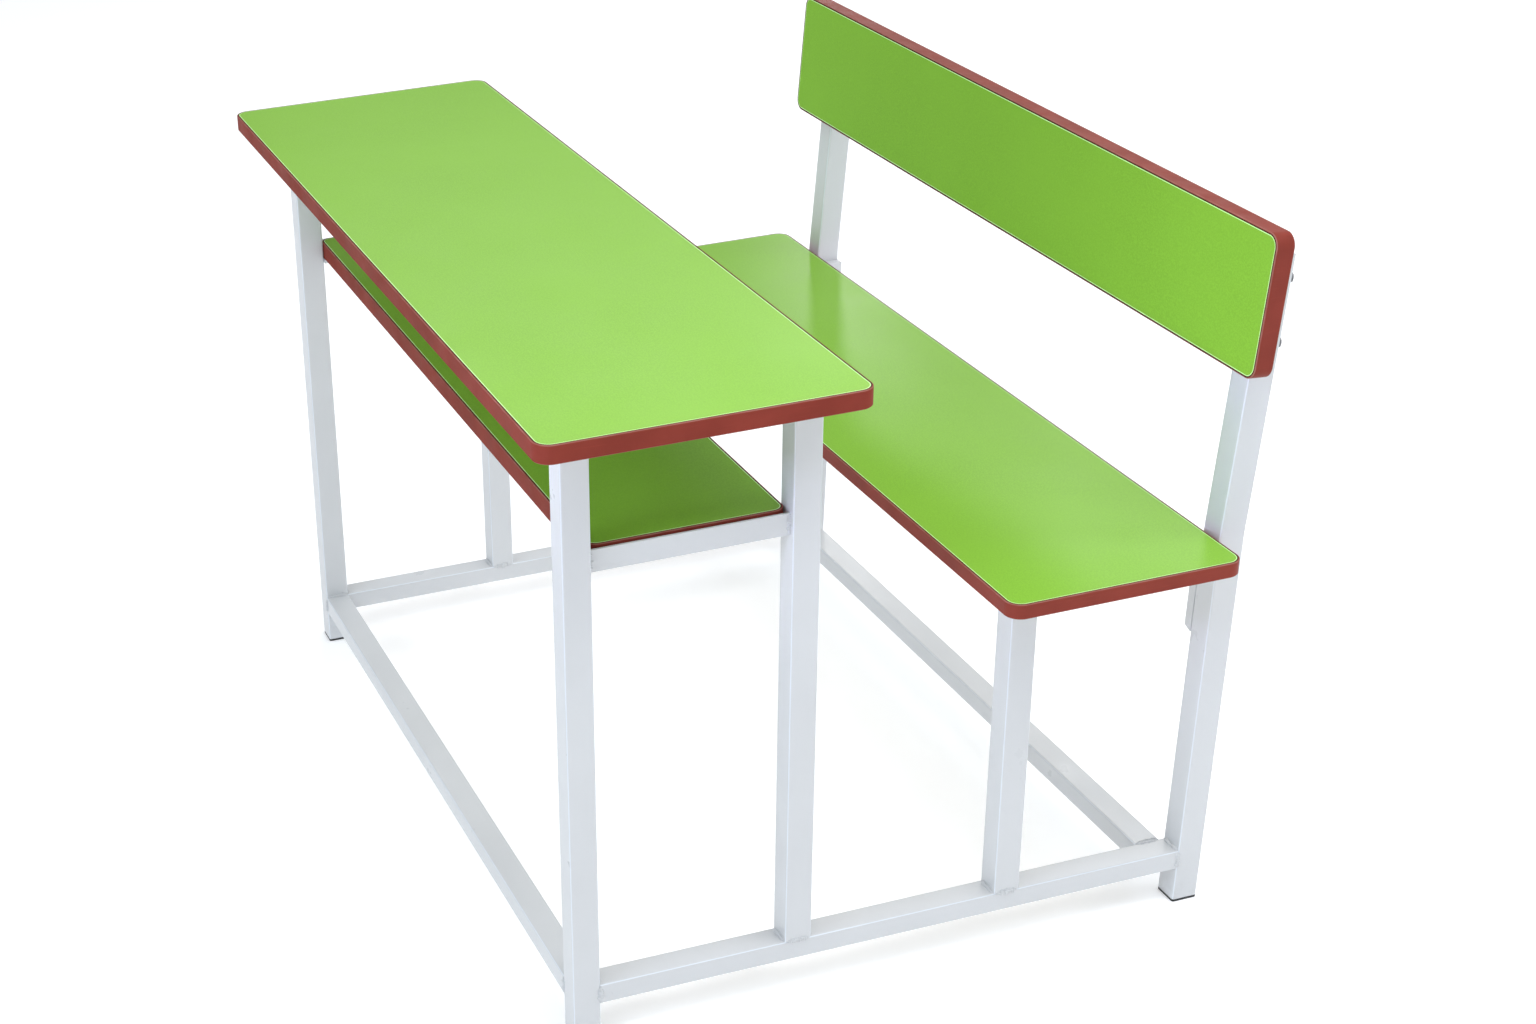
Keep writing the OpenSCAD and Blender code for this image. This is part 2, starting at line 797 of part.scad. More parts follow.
module backrest_bolts() {
    color(zinc) at_bolts() {
        translate([0, 0, washer_t + spring_t]) intersection() {
            rotate([0, 0, 30]) cylinder(h = bolt_head_h, r = bolt_corner_r, $fn = 6);
            cylinder(h = bolt_head_h, r1 = bolt_face_r + bolt_head_h / tan(bolt_chamfer), r2 = bolt_face_r);
        }
        translate([0, 0, washer_t + spring_t - bolt_l]) cylinder(h = bolt_l, d = bolt_d);
    }
}

module backrest_spring_washers() {
    color(zinc) at_bolts() translate([0, 0, washer_t]) ring(spring_d, bolt_d + 2 * steel_fit, spring_t);
}

module backrest_washers() {
    color(zinc) at_bolts() ring(washer_d, bolt_d + 2 * steel_fit, washer_t);
}

module backrest_inserts() {
    color(zinc) at_bolts() translate([0, 0, -tube_w - insert_l]) {
        ring(insert_d, bolt_d + 2 * hole_fit, insert_l);
    }
}

desk_top_core();
desk_top_laminate();
desk_top_backer();
desk_top_edge_band();
shelf_core();
shelf_laminate();
shelf_backer();
shelf_edge_band();
seat_core();
seat_laminate();
seat_backer();
seat_edge_band();
backrest_core();
backrest_laminate();
backrest_backer();
backrest_edge_band();
desk_front_leg(left);  // desk_front_leg_left
desk_front_leg(right);  // desk_front_leg_right
desk_rear_post(left);  // desk_rear_post_left
desk_rear_post(right);  // desk_rear_post_right
seat_front_post(left);  // seat_front_post_left
seat_front_post(right);  // seat_front_post_right
rear_leg(left);  // rear_leg_left
rear_leg(right);  // rear_leg_right
side_rail(left);  // side_rail_left
side_rail(right);  // side_rail_right
desk_bearer(left);  // desk_bearer_left
desk_bearer(right);  // desk_bearer_right
seat_bearer(left);  // seat_bearer_left
seat_bearer(right);  // seat_bearer_right
shelf_angle(left);  // shelf_angle_left
shelf_angle(right);  // shelf_angle_right
seat_cleat(left);  // seat_cleat_left
seat_cleat(right);  // seat_cleat_right
front_stretcher();
rear_stretcher();
weld_beads(left);  // weld_beads_left
weld_beads(right);  // weld_beads_right
foot_plugs();
upright_plugs();
desk_screws();
shelf_screws();
seat_screws();
backrest_bolts();
backrest_spring_washers();
backrest_washers();
backrest_inserts();
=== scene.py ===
"""A dual desk bench: materials, weld seams and board trim, with a floor, lights and a camera."""

import json
import math
import random

import bpy
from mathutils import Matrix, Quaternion, Vector


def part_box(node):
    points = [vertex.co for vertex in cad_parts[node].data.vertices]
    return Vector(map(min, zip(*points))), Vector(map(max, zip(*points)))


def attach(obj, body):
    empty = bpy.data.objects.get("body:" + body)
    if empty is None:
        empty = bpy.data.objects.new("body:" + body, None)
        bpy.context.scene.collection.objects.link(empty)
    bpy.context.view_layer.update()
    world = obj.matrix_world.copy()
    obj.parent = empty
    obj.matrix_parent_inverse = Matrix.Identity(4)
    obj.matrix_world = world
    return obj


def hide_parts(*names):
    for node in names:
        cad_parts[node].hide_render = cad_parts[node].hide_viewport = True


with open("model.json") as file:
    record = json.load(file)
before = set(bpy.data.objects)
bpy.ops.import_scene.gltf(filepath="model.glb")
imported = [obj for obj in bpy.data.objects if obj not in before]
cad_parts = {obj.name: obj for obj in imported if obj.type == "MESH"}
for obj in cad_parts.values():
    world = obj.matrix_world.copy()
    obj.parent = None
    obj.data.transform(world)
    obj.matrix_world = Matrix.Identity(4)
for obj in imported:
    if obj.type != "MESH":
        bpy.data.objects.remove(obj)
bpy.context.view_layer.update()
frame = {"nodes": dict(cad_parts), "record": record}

MM = 0.001

# Camera: where it stands, in metres, the way it looks, its roll, its lens and sensor width in
# millimetres, and how far its principal point lies off the middle, as a share of the width
EYE = Vector((2.6531, -1.1449, 1.7312))
FORWARD = Vector((-0.8545, 0.2426, -0.4593))
ROLL = math.radians(3.26)
LENS = 58.807
SENSOR_WIDTH = 36.0
SHIFT = (0.2266, 0.0573)

# Colours, linear
GREEN = (0.211, 0.445, 0.040)
# Pale green for the laminate's edge line, partly a painted highlight
PALE_GREEN = (0.60, 0.90, 0.38)
RED_BROWN = (0.250, 0.048, 0.034)
# Paler red-brown for the band's bevels: rubbed wear, and a painted highlight
RUBBED_AND_LIT_BROWN = (0.34, 0.16, 0.13)
TUBE_WHITE = (0.635, 0.650, 0.672)
# Bluish white for the tubes' rounded corners: a painted highlight
CORNER_HIGHLIGHT_WHITE = (0.76, 0.81, 0.88)
DUST_GREY = (0.50, 0.52, 0.53)
SCUFF_GREY = (0.40, 0.40, 0.40)
# Near-black brown for the joint line: a painted shadow, with dirt
SHADOW_AND_DIRT_BROWN = (0.035, 0.018, 0.012)

# The largest angle, in radians, between faces that are still shaded as one round surface
SMOOTH_CAD = math.radians(28)
SMOOTH_PIECES = math.radians(50)

BOARDS = ("desk_top", "shelf", "seat", "backrest")
SIDES = ("left", "right")


# Materials


class Shader:
    """A material with its node tree, and short ways to add nodes to it."""

    def __init__(self, name, **sockets):
        self.material = bpy.data.materials.new(name)
        self.material.use_nodes = True
        self.tree = self.material.node_tree
        self.surface = self.tree.nodes["Principled BSDF"]
        for socket, value in sockets.items():
            self.surface.inputs[socket.replace("_", " ")].default_value = value
        origin = self.node("ShaderNodeTexCoord")
        self.place = origin.outputs["Object"]
        self.facing = origin.outputs["Normal"]

    def node(self, kind, **settings):
        made = self.tree.nodes.new(kind)
        for name, value in settings.items():
            setattr(made, name, value)
        return made

    def link(self, output, socket):
        self.tree.links.new(output, socket)

    def stretched(self, scale):
        """The object's coordinates times a scale on each axis."""
        mapping = self.node("ShaderNodeMapping")
        mapping.inputs["Scale"].default_value = scale
        self.link(self.place, mapping.inputs["Vector"])
        return mapping.outputs["Vector"]

    def noise(self, scale, detail=2.0, roughness=0.5, place=None):
        made = self.node("ShaderNodeTexNoise")
        made.inputs["Scale"].default_value = scale
        made.inputs["Detail"].default_value = detail
        made.inputs["Roughness"].default_value = roughness
        self.link(place or self.place, made.inputs["Vector"])
        return made.outputs["Fac"]

    def voronoi(self, scale, output="Distance"):
        made = self.node("ShaderNodeTexVoronoi")
        made.inputs["Scale"].default_value = scale
        self.link(self.place, made.inputs["Vector"])
        return made.outputs[output]

    def ramp(self, value, low, high, start=0.0, end=1.0):
        """Maps a value from low..high to start..end, held at both ends."""
        made = self.node("ShaderNodeMapRange")
        made.inputs["From Min"].default_value = low
        made.inputs["From Max"].default_value = high
        made.inputs["To Min"].default_value = start
        made.inputs["To Max"].default_value = end
        self.link(value, made.inputs["Value"])
        return made.outputs["Result"]

    def math(self, operation, a, b):
        made = self.node("ShaderNodeMath", operation=operation)
        for socket, value in zip(made.inputs, (a, b)):
            if isinstance(value, (int, float)):
                socket.default_value = value
            else:
                self.link(value, socket)
        return made.outputs["Value"]

    def mix(self, factor, a, b):
        """Colour a where the factor is 0 and b where it is 1."""
        made = self.node("ShaderNodeMix", data_type="RGBA")
        self.link(factor, made.inputs["Factor"])
        for name, value in (("A", a), ("B", b)):
            socket = next(s for s in made.inputs if s.name == name and s.type == "RGBA")
            if isinstance(value, tuple):
                socket.default_value = (*value, 1.0)
            else:
                self.link(value, socket)
        return next(s for s in made.outputs if s.type == "RGBA")

    def bevels(self, low, high, axis=None):
        """A mask of the faces that lean off the object's axes, or off one named axis."""
        axes = self.node("ShaderNodeSeparateXYZ")
        self.link(self.facing, axes.inputs["Vector"])
        x, y, z = (self.math("ABSOLUTE", axes.outputs[name], 0.0) for name in "XYZ")
        if axis is None:
            straight = self.math("MAXIMUM", x, self.math("MAXIMUM", y, z))
            return self.ramp(straight, 1.0 - high, 1.0 - low, 1.0, 0.0)
        along = {"Y": y, "Z": z}[axis]
        rest = self.math("SUBTRACT", 1.0, self.math("MULTIPLY", along, along))
        across = self.math("SQRT", self.math("MAXIMUM", rest, 0.0), 0.0)
        return self.ramp(self.math("MULTIPLY", along, across), low, high)

    def colour(self, output):
        self.link(output, self.surface.inputs["Base Color"])

    def roughness(self, output):
        self.link(output, self.surface.inputs["Roughness"])

    def bump(self, *layers):
        """Adds bump layers, each a height output and the depth of its relief in metres."""
        normal = None
        for height, depth in layers:
            made = self.node("ShaderNodeBump")
            made.inputs["Distance"].default_value = depth
            self.link(height, made.inputs["Height"])
            if normal:
                self.link(normal, made.inputs["Normal"])
            normal = made.outputs["Normal"]
        self.link(normal, self.surface.inputs["Normal"])


def times(colour, factor):
    """A colour made brighter or darker."""
    return tuple(channel * factor for channel in colour)


def laminate(name, colour, shine):
    """Satin high-pressure laminate with a very fine pebble, faint mottling and a little dust."""
    s = Shader(name, Specular_IOR_Level=shine)
    mottle = s.ramp(s.noise(5.0, 3.0), 0.35, 0.65)
    tone = s.mix(mottle, times(colour, 0.965), times(colour, 1.035))
    speckle = s.ramp(s.noise(620.0, 1.0), 0.42, 0.6)
    tone = s.mix(speckle, tone, times(colour, 1.10))
    s.colour(tone)
    smear = s.ramp(s.noise(9.0, 4.0, 0.6), 0.3, 0.7, 0.28, 0.34)
    s.roughness(smear)
    s.bump((s.noise(900.0, 2.0), 0.00005), (s.noise(38.0, 1.0), 0.00002))
    return s.material


def band_plastic(name, shine, axis="Z", painted_shade=1.0):
    """Satin red-brown T-mould with fine scuffs and paler bevels: rubbed wear and a painted
    highlight.
    """
    s = Shader(name, Specular_IOR_Level=shine)
    clouds = s.ramp(s.noise(18.0, 3.0), 0.35, 0.65)
    # A factor below one darkens the whole band, a painted shade
    tone = s.mix(clouds, times(RED_BROWN, 0.93 * painted_shade), times(RED_BROWN, 1.08 * painted_shade))
    streaks = s.noise(60.0, 4.0, 0.65, s.stretched((0.25, 0.25, 6.0)))
    tone = s.mix(s.ramp(streaks, 0.60, 0.78, 0.0, 0.35), tone, times(RED_BROWN, 1.5))
    grit = s.ramp(s.voronoi(420.0), 0.05, 0.16, 0.30, 0.0)
    tone = s.mix(grit, tone, times(RED_BROWN, 0.55))
    wear_and_sheen = s.ramp(s.noise(55.0, 3.0), 0.3, 0.6, 0.35, 0.8)
    # The bevels, picked by their slant, turn paler: partly rubbed wear, partly a painted highlight
    tone = s.mix(s.math("MULTIPLY", s.bevels(0.25, 0.42, axis), wear_and_sheen), tone, RUBBED_AND_LIT_BROWN)
    s.colour(tone)
    s.roughness(s.ramp(s.noise(30.0, 4.0, 0.6), 0.3, 0.7, 0.34, 0.5))
    s.bump((s.noise(700.0, 2.0), 0.00006), (streaks, 0.00008))
    return s.material


def powder_coat(name, colour, relief=0.00012, grime=0.5, corner_highlight=False):
    """Semi-gloss powder coat: orange peel, faint grime, light scuffs near the floor, and, if asked,
    a paler line on the rounded corners, which is a painted highlight."""
    s = Shader(name, Specular_IOR_Level=0.25, Coat_Weight=0.12, Coat_Roughness=0.18)
    tone = s.mix(s.ramp(s.noise(7.0, 3.0), 0.3, 0.7), times(colour, 0.975), times(colour, 1.02))
    dirt = s.ramp(s.noise(26.0, 5.0, 0.7), 0.56, 0.78, 0.0, 0.05 * grime)
    tone = s.mix(dirt, tone, DUST_GREY)
    height = s.node("ShaderNodeSeparateXYZ")
    s.link(s.place, height.inputs["Vector"])
    low = s.ramp(height.outputs["Z"], 0.006, 0.035, 1.0, 0.0)
    rubbed = s.math("MULTIPLY", low, s.ramp(s.noise(85.0, 4.0, 0.7), 0.5, 0.68))
    tone = s.mix(s.math("MULTIPLY", rubbed, 0.25), tone, SCUFF_GREY)
    pits = s.ramp(s.voronoi(330.0), 0.02, 0.07, 0.2, 0.0)
    tone = s.mix(pits, tone, times(colour, 0.9))
    # A paler line on the rounded corners, picked by the surface's slant: a painted highlight
    if corner_highlight:
        tone = s.mix(s.bevels(0.10, 0.24), tone, CORNER_HIGHLIGHT_WHITE)
    s.colour(tone)
    s.roughness(s.ramp(s.noise(22.0, 4.0, 0.6), 0.3, 0.7, 0.27, 0.4))
    s.bump((s.noise(330.0, 2.0), relief), (pits, 0.00006))
    return s.material


def backing():
    """Plain off-white backing laminate with paper fibres."""
    s = Shader("backing_laminate", Specular_IOR_Level=0.35)
    tone = s.mix(s.ramp(s.noise(14.0, 4.0), 0.3, 0.7), (0.62, 0.57, 0.47), (0.70, 0.65, 0.55))
    fibres = s.noise(320.0, 3.0, 0.6, s.stretched((0.3, 1.6, 1.0)))
    tone = s.mix(s.ramp(fibres, 0.52, 0.72, 0.0, 0.5), tone, (0.48, 0.42, 0.32))
    s.colour(tone)
    s.roughness(s.ramp(fibres, 0.3, 0.7, 0.5, 0.62))
    s.bump((fibres, 0.00008))
    return s.material


def chipboard():
    """Pressed chips of many browns, which only show where a board is cut."""
    s = Shader("particle_board", Roughness=0.85)
    chips = s.voronoi(420.0, "Color")
    value = s.node("ShaderNodeSeparateColor")
    s.link(chips, value.inputs["Color"])
    s.colour(s.mix(value.outputs["Red"], (0.30, 0.19, 0.10), (0.66, 0.50, 0.32)))
    s.bump((value.outputs["Green"], 0.0003))
    return s.material


def black_plastic():
    """Moulded plastic with a little dust."""
    s = Shader("black_plug", Specular_IOR_Level=0.4)
    dust = s.ramp(s.noise(60.0, 4.0), 0.4, 0.75)
    s.colour(s.mix(dust, (0.014, 0.014, 0.016), (0.05, 0.05, 0.05)))
    s.roughness(s.ramp(s.noise(40.0, 3.0), 0.3, 0.7, 0.42, 0.6))
    s.bump((s.noise(900.0, 2.0), 0.0001))
    return s.material


def zinc(name, colour, dark):
    """Plated steel with a dull, cloudy finish."""
    s = Shader(name, Metallic=0.9)
    clouds = s.ramp(s.noise(170.0, 4.0, 0.6), 0.35, 0.65)
    s.colour(s.mix(clouds, colour, dark))
    s.roughness(s.ramp(s.noise(260.0, 3.0), 0.3, 0.7, 0.28, 0.46))
    s.bump((s.noise(700.0, 2.0), 0.00006))
    return s.material


# The desk and the seat are polished by use, and the shelf and the backrest are duller
GREEN_LAMINATE = laminate("green_laminate", GREEN, 0.10)
DULL_LAMINATE = laminate("dull_green_laminate", GREEN, 0.02)
# The shelf's green is darkened, a painted shade for the shadow under the desk top
SHADED_SHELF_LAMINATE = laminate("shaded_shelf_green_laminate", times(GREEN, 0.84), 0.02)
EDGE_LINE_AND_HIGHLIGHT = laminate("pale_edge_and_highlight", PALE_GREEN, 0.10)
BAND = band_plastic("red_brown_band", 0.05)
# Darker copies for the shelf, the desk top and the backrest: painted shade on their bands
DULL_SHADED_BAND = band_plastic("dull_shaded_red_brown_band", 0.01, painted_shade=0.94)
SHADED_UPRIGHT_BAND = band_plastic("shaded_upright_red_brown_band", 0.05, "Y", painted_shade=0.91)
PAINT = powder_coat("white_powder_coat", TUBE_WHITE, corner_highlight=True)
WELD_PAINT = powder_coat("weld_powder_coat", times(TUBE_WHITE, 0.93), relief=0.0003, grime=1.4)
ZINC = zinc("zinc_plate", (0.50, 0.51, 0.53), (0.34, 0.35, 0.36))
DARK_BOLT = zinc("dark_bolt", (0.24, 0.24, 0.25), (0.09, 0.09, 0.095))
# A painted shadow in the joint between laminate and band, with dirt in it
JOINT_SHADOW_AND_GRIME = laminate("joint_shadow_and_grime", SHADOW_AND_DIRT_BROWN, 0.02)
BACKER = backing()
CORE = chipboard()
PLUG = black_plastic()
CAP = powder_coat("grey_cap", times(TUBE_WHITE, 0.9), relief=0.00006)

BY_SLOT = {
    "green_laminate": GREEN_LAMINATE,
    "backing_laminate": BACKER,
    "particle_board": CORE,
    "edge_band": BAND,
    "painted_tube": PAINT,
    "weld_bead": WELD_PAINT,
    "plastic_plug": PLUG,
    "plastic_cap": CAP,
    "zinc_steel": ZINC,
}


def dress(piece, material):
    """Gives a piece one material in place of its own."""
    piece.data.materials.clear()
    piece.data.materials.append(material)


for part in frame["record"]["subparts"]:
    dress(frame["nodes"][part["node"]], BY_SLOT[part["material_slot"]])
dress(frame["nodes"]["backrest_bolts"], DARK_BOLT)
dress(frame["nodes"]["backrest_edge_band"], SHADED_UPRIGHT_BAND)
dress(frame["nodes"]["backrest_laminate"], DULL_LAMINATE)
dress(frame["nodes"]["shelf_laminate"], SHADED_SHELF_LAMINATE)
for board in ("shelf", "desk_top"):
    dress(frame["nodes"][f"{board}_edge_band"], DULL_SHADED_BAND)

for cad_node in frame["nodes"].values():
    cad_node.data.polygons.foreach_set("use_smooth", [True] * len(cad_node.data.polygons))
    cad_node.data.set_sharp_from_angle(angle=SMOOTH_CAD)


# Pieces made here


def new_piece(name, verts, faces, material):
    """Makes a smooth-shaded piece that rides on the frame."""
    mesh = bpy.data.meshes.new(name)
    mesh.from_pydata([tuple(v) for v in verts], [], faces)
    mesh.update()
    mesh.polygons.foreach_set("use_smooth", [True] * len(mesh.polygons))
    mesh.set_sharp_from_angle(angle=SMOOTH_PIECES)
    piece = bpy.data.objects.new(name, mesh)
    bpy.context.scene.collection.objects.link(piece)
    dress(piece, material)
    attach(piece, "root")
    return piece


# Weld seams

# A bead's rings, the pitch of its ripples, and how far it drifts off its line
RING_STEP = 0.7 * MM
RIPPLE_PITCH = 2.6 * MM
DRIFT = 0.35 * MM
# How much the ripples and lumps swell a bead, as a share of its size
BUTT_RIPPLE = 0.42
FILLET_RIPPLE = 0.20
# How deep a bead's hidden underside sits in the tube
BUTT_ROOT = 0.6 * MM
FILLET_ROOT = 0.3 * MM
# The steps of a half circle
ARC_STEPS = 8
FIRST_SEED = 11


class Beads:
    """Rippled weld beads in one mesh, each a row of rings with a cap at both ends."""

    def __init__(self, seed):
        self.verts = []
        self.faces = []
        self.chance = random.Random(seed)

    def wander(self, count):
        """A row of random values from -1 to 1."""
        return [self.chance.uniform(-1.0, 1.0) for _ in range(count)]

    @staticmethod
    def along(values, t):
        """The value at a share t of the way through a row of values."""
        at = t * (len(values) - 1)
        k = min(int(at), len(values) - 2)
        return values[k] + (values[k + 1] - values[k]) * (at - k)

    def sweep(self, start, end, profile, across, out, ripple):
        """Sweeps a profile of (across, out) points in metres, with ripples and lumps."""
        start, end = Vector(start), Vector(end)
        run = (end - start).length
        count = max(8, round(run / RING_STEP))
        lumps = self.wander(count // 4 + 3)
        drift = self.wander(count // 6 + 3)
        phase = self.chance.uniform(0.0, 6.0)
        first = len(self.verts)
        for i in range(count + 1):
            t = i / count
            taper = min(1.0, 0.35 + 4.0 * min(t, 1.0 - t))
            aside = self.along(drift, t) * DRIFT
            wave = math.sin(phase + t * run / RIPPLE_PITCH * 2.0 * math.pi)
            swell = taper * (1.0 + ripple * (0.45 * wave + 0.9 * self.along(lumps, t)))
            centre = start.lerp(end, t)
            for a, o in profile:
                lift = o * swell if o > 0 else o
                self.verts.append(centre + across * (a * swell + aside) + out * lift)
        n = len(profile)
        for i in range(count):
            for j in range(n):
                a, b = first + i * n + j, first + i * n + (j + 1) % n
                self.faces.append((a, b, b + n, a + n))
        self.faces.append(tuple(range(first, first + n)))
        self.faces.append(tuple(first + count * n + j for j in reversed(range(n))))

    def butt(self, start, end, across, out, width=6.0 * MM, height=1.7 * MM):
        """A low bead over a flush seam."""
        arc = [math.pi * k / ARC_STEPS for k in range(ARC_STEPS + 1)]
        profile = [(-math.cos(a) * width / 2, math.sin(a) * height) for a in arc]
        profile += [(width * 0.35, -BUTT_ROOT), (-width * 0.35, -BUTT_ROOT)]
        self.sweep(start, end, profile, Vector(across), Vector(out), BUTT_RIPPLE)

    def fillet(self, start, end, leg_a, leg_b):
        """A bead in a corner, between the tips of two legs that leave the corner."""
        leg_a, leg_b = Vector(leg_a), Vector(leg_b)
        size = (leg_a.length + leg_b.length) / 2
        across = (leg_b - leg_a).normalized()
        out = (leg_a + leg_b).normalized()
        reach = size / math.sqrt(2)
        profile = [(-reach, reach)]
        for k in range(1, ARC_STEPS):
            a = math.pi * k / ARC_STEPS
            profile.append((-math.cos(a) * reach, reach + math.sin(a) * 0.28 * size))
        profile += [(reach, reach), (0.0, -FILLET_ROOT)]
        self.sweep(start, end, profile, across, out, FILLET_RIPPLE)


def loose_parts(mesh):
    """The vertex sets of a mesh's separate solids."""
    owner = list(range(len(mesh.vertices)))

    def find(i):
        while owner[i] != i:
            owner[i] = owner[owner[i]]
            i = owner[i]
        return i

    spots = {}
    for v in mesh.vertices:
        spots.setdefault(tuple(round(c, 6) for c in v.co), []).append(v.index)
    for same in spots.values():
        for i in same[1:]:
            owner[find(i)] = find(same[0])
    for edge in mesh.edges:
        a, b = edge.vertices
        owner[find(a)] = find(b)
    groups = {}
    for v in mesh.vertices:
        groups.setdefault(find(v.index), set()).add(tuple(round(c, 6) for c in v.co))
    return [[Vector(p) for p in sorted(points)] for points in groups.values()]


def square_corner(triangle):
    """The corner of a triangle whose two sides are nearest to square."""

    def slant(p):
        first, second = sorted(triangle, key=lambda q: (q - p).length)[1:]
        return abs((first - p).normalized().dot((second - p).normalized()))

    return min(triangle, key=slant)


def corner_beads(beads, node):
    """Follows each three-cornered CAD bead with a lumpy one."""
    for points in loose_parts(frame["nodes"][node].data):
        if len(points) != 6:
            continue
        # The prism's two ends are the halves that lie apart along its longest direction
        spread = [max(p[k] for p in points) - min(p[k] for p in points) for k in range(3)]
        axis = spread.index(max(spread))
        ends = sorted(points, key=lambda p: p[axis])
        low, high = ends[:3], ends[3:]
        root = square_corner(low)
        tips = [p - root for p in low if p is not root]
        beads.fillet(root, min(high, key=lambda p: (p - root).length), *tips)


def seams(beads, side):
    """Beads over the flush seams, on the outer and the inner faces of one side of the frame."""
    hand = 1.0 if side == "left" else -1.0
    rail_lo, rail_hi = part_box(f"side_rail_{side}")
    edge = 3.0 * MM
    angle_edge = 1.0 * MM
    for x, out in ((rail_hi.x, 1.0), (rail_lo.x, -1.0)):
        outward = (out, 0, 0)
        for y in (rail_lo.y, rail_hi.y):
            beads.butt((x, y, rail_lo.z + edge), (x, y, rail_hi.z - edge), (0, 1, 0), outward)
        for post in ("desk_rear_post", "seat_front_post"):
            lo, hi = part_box(f"{post}_{side}")
            beads.butt((x, lo.y + edge, rail_hi.z), (x, hi.y - edge, rail_hi.z), (0, 0, 1), outward)
        for bearer in ("desk_bearer", "seat_bearer"):
            lo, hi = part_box(f"{bearer}_{side}")
            for y in (lo.y, hi.y):
                beads.butt((x, y, lo.z + edge), (x, y, hi.z - edge), (0, 1, 0), outward)
    lo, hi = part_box(f"shelf_angle_{side}")
    x = hi.x if hand > 0 else lo.x
    for y in (lo.y, hi.y):
        foot, head = (x, y, lo.z + angle_edge), (x, y, hi.z - angle_edge)
        beads.butt(foot, head, (0, 1, 0), (hand, 0, 0), width=7.0 * MM, height=2.2 * MM)
    lo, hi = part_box("front_stretcher")
    x = hi.x if hand > 0 else lo.x
    for y, out in ((lo.y, -1.0), (hi.y, 1.0)):
        beads.butt((x, y, lo.z + edge), (x, y, hi.z - edge), (1, 0, 0), (0, out, 0))
    lo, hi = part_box("rear_stretcher")
    x = hi.x if hand > 0 else lo.x
    beads.butt((x, lo.y + edge, hi.z), (x, hi.y - edge, hi.z), (1, 0, 0), (0, 0, 1))


for number, side in enumerate(SIDES):
    beads = Beads(seed=FIRST_SEED + number)
    corner_beads(beads, f"weld_beads_{side}")
    seams(beads, side)
    piece = new_piece(f"weld_seams_{side}", beads.verts, beads.faces, WELD_PAINT)
    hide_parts(f"weld_beads_{side}")


# The pale edge of each laminate, partly a painted highlight, and the joint between it and the band,
# partly a painted shadow

# A face counts as large from this area in square metres, and points as level within this depth
LARGE_AREA = 1e-4
LEVEL_WITHIN = 0.01 * MM


def face_frame(board):
    """Centre of the laminate's face, its length and width directions, its normal and half sizes."""
    lo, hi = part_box(f"{board}_laminate")
    along = Vector((1, 0, 0))
    half_l = (hi.x - lo.x) / 2
    if board != "backrest":
        middle = (lo + hi) / 2
        centre = Vector((middle.x, middle.y, hi.z))
        return centre, along, Vector((0, 1, 0)), Vector((0, 0, 1)), half_l, (hi.y - lo.y) / 2
    # The backrest leans, so its frame comes from the large face that looks towards the desk
    mesh = frame["nodes"]["backrest_laminate"].data
    front = min(mesh.polygons, key=lambda f: f.normal.y if f.area > LARGE_AREA else 1.0)
    normal = front.normal.copy()
    up = Vector((0, normal.z, -normal.y))
    origin = mesh.vertices[front.vertices[0]].co
    flat = [v.co for v in mesh.vertices if abs((v.co - origin).dot(normal)) < LEVEL_WITHIN]
    heights = [p.dot(up) for p in flat]
    middle = (max(heights) + min(heights)) / 2
    centre = up * middle + normal * flat[0].dot(normal)
    return centre, along, up, normal, half_l, (max(heights) - min(heights)) / 2


def corner_radius(board, centre, along, wide, half_l, half_w):
    """The laminate's corner radius, from where its long edge ends."""
    points = [v.co - centre for v in frame["nodes"][f"{board}_laminate"].data.vertices]
    return half_l - max(p.dot(along) for p in points if p.dot(wide) > half_w - LEVEL_WITHIN)


def round_outline(half_l, half_w, radius, steps=10):
    """Points of a rectangle with round corners and the outward direction at each."""
    out = []
    for quadrant in range(4):
        sx = (1, -1, -1, 1)[quadrant]
        sy = (1, 1, -1, -1)[quadrant]
        for k in range(steps + 1):
            a = math.pi / 2 * (quadrant + k / steps)
            dx, dy = math.cos(a), math.sin(a)
            x = sx * (half_l - radius) + radius * dx
            y = sy * (half_w - radius) + radius * dy
            out.append((x, y, dx, dy))
    return out


def border(name, board, profile, material):
    """Runs a profile round a board's laminate. Its points are the distance outwards from the
    laminate's edge and the height above its face."""
    centre, along, wide, normal, half_l, half_w = face_frame(board)
    radius = corner_radius(board, centre, along, wide, half_l, half_w)
    outline = round_outline(half_l, half_w, radius)
    verts, faces = [], []
    for x, y, dx, dy in outline:
        for off, up in profile:
            verts.append(centre + along * (x + dx * off) + wide * (y + dy * off) + normal * up)
    n = len(profile)
    for i in range(len(outline)):
        j = (i + 1) % len(outline)
        for k in range(n):
            m = (k + 1) % n
            faces.append((i * n + k, j * n + k, j * n + m, i * n + m))
    new_piece(name, verts, faces, material)


# The pale edge of the laminate, with its chamfer: partly its cut edge, partly a painted highlight
TRIM_PROFILE = (
    (-0.95 * MM, -0.02 * MM),
    (-0.8 * MM, 0.04 * MM),
    (-0.05 * MM, 0.04 * MM),
    (0.15 * MM, -0.12 * MM),
    (0.1 * MM, -0.5 * MM),
)
# A dark line in the joint outside it: a painted shadow of the groove, with dirt in it
JOINT_PROFILE = (
    (0.12 * MM, -0.3 * MM),
    (0.14 * MM, 0.03 * MM),
    (1.4 * MM, 0.03 * MM),
    (1.45 * MM, -0.3 * MM),
)

for board in BOARDS:
    border(f"{board}_laminate_trim", board, TRIM_PROFILE, EDGE_LINE_AND_HIGHLIGHT)
    border(f"{board}_joint_line", board, JOINT_PROFILE, JOINT_SHADOW_AND_GRIME)


# Floor and light


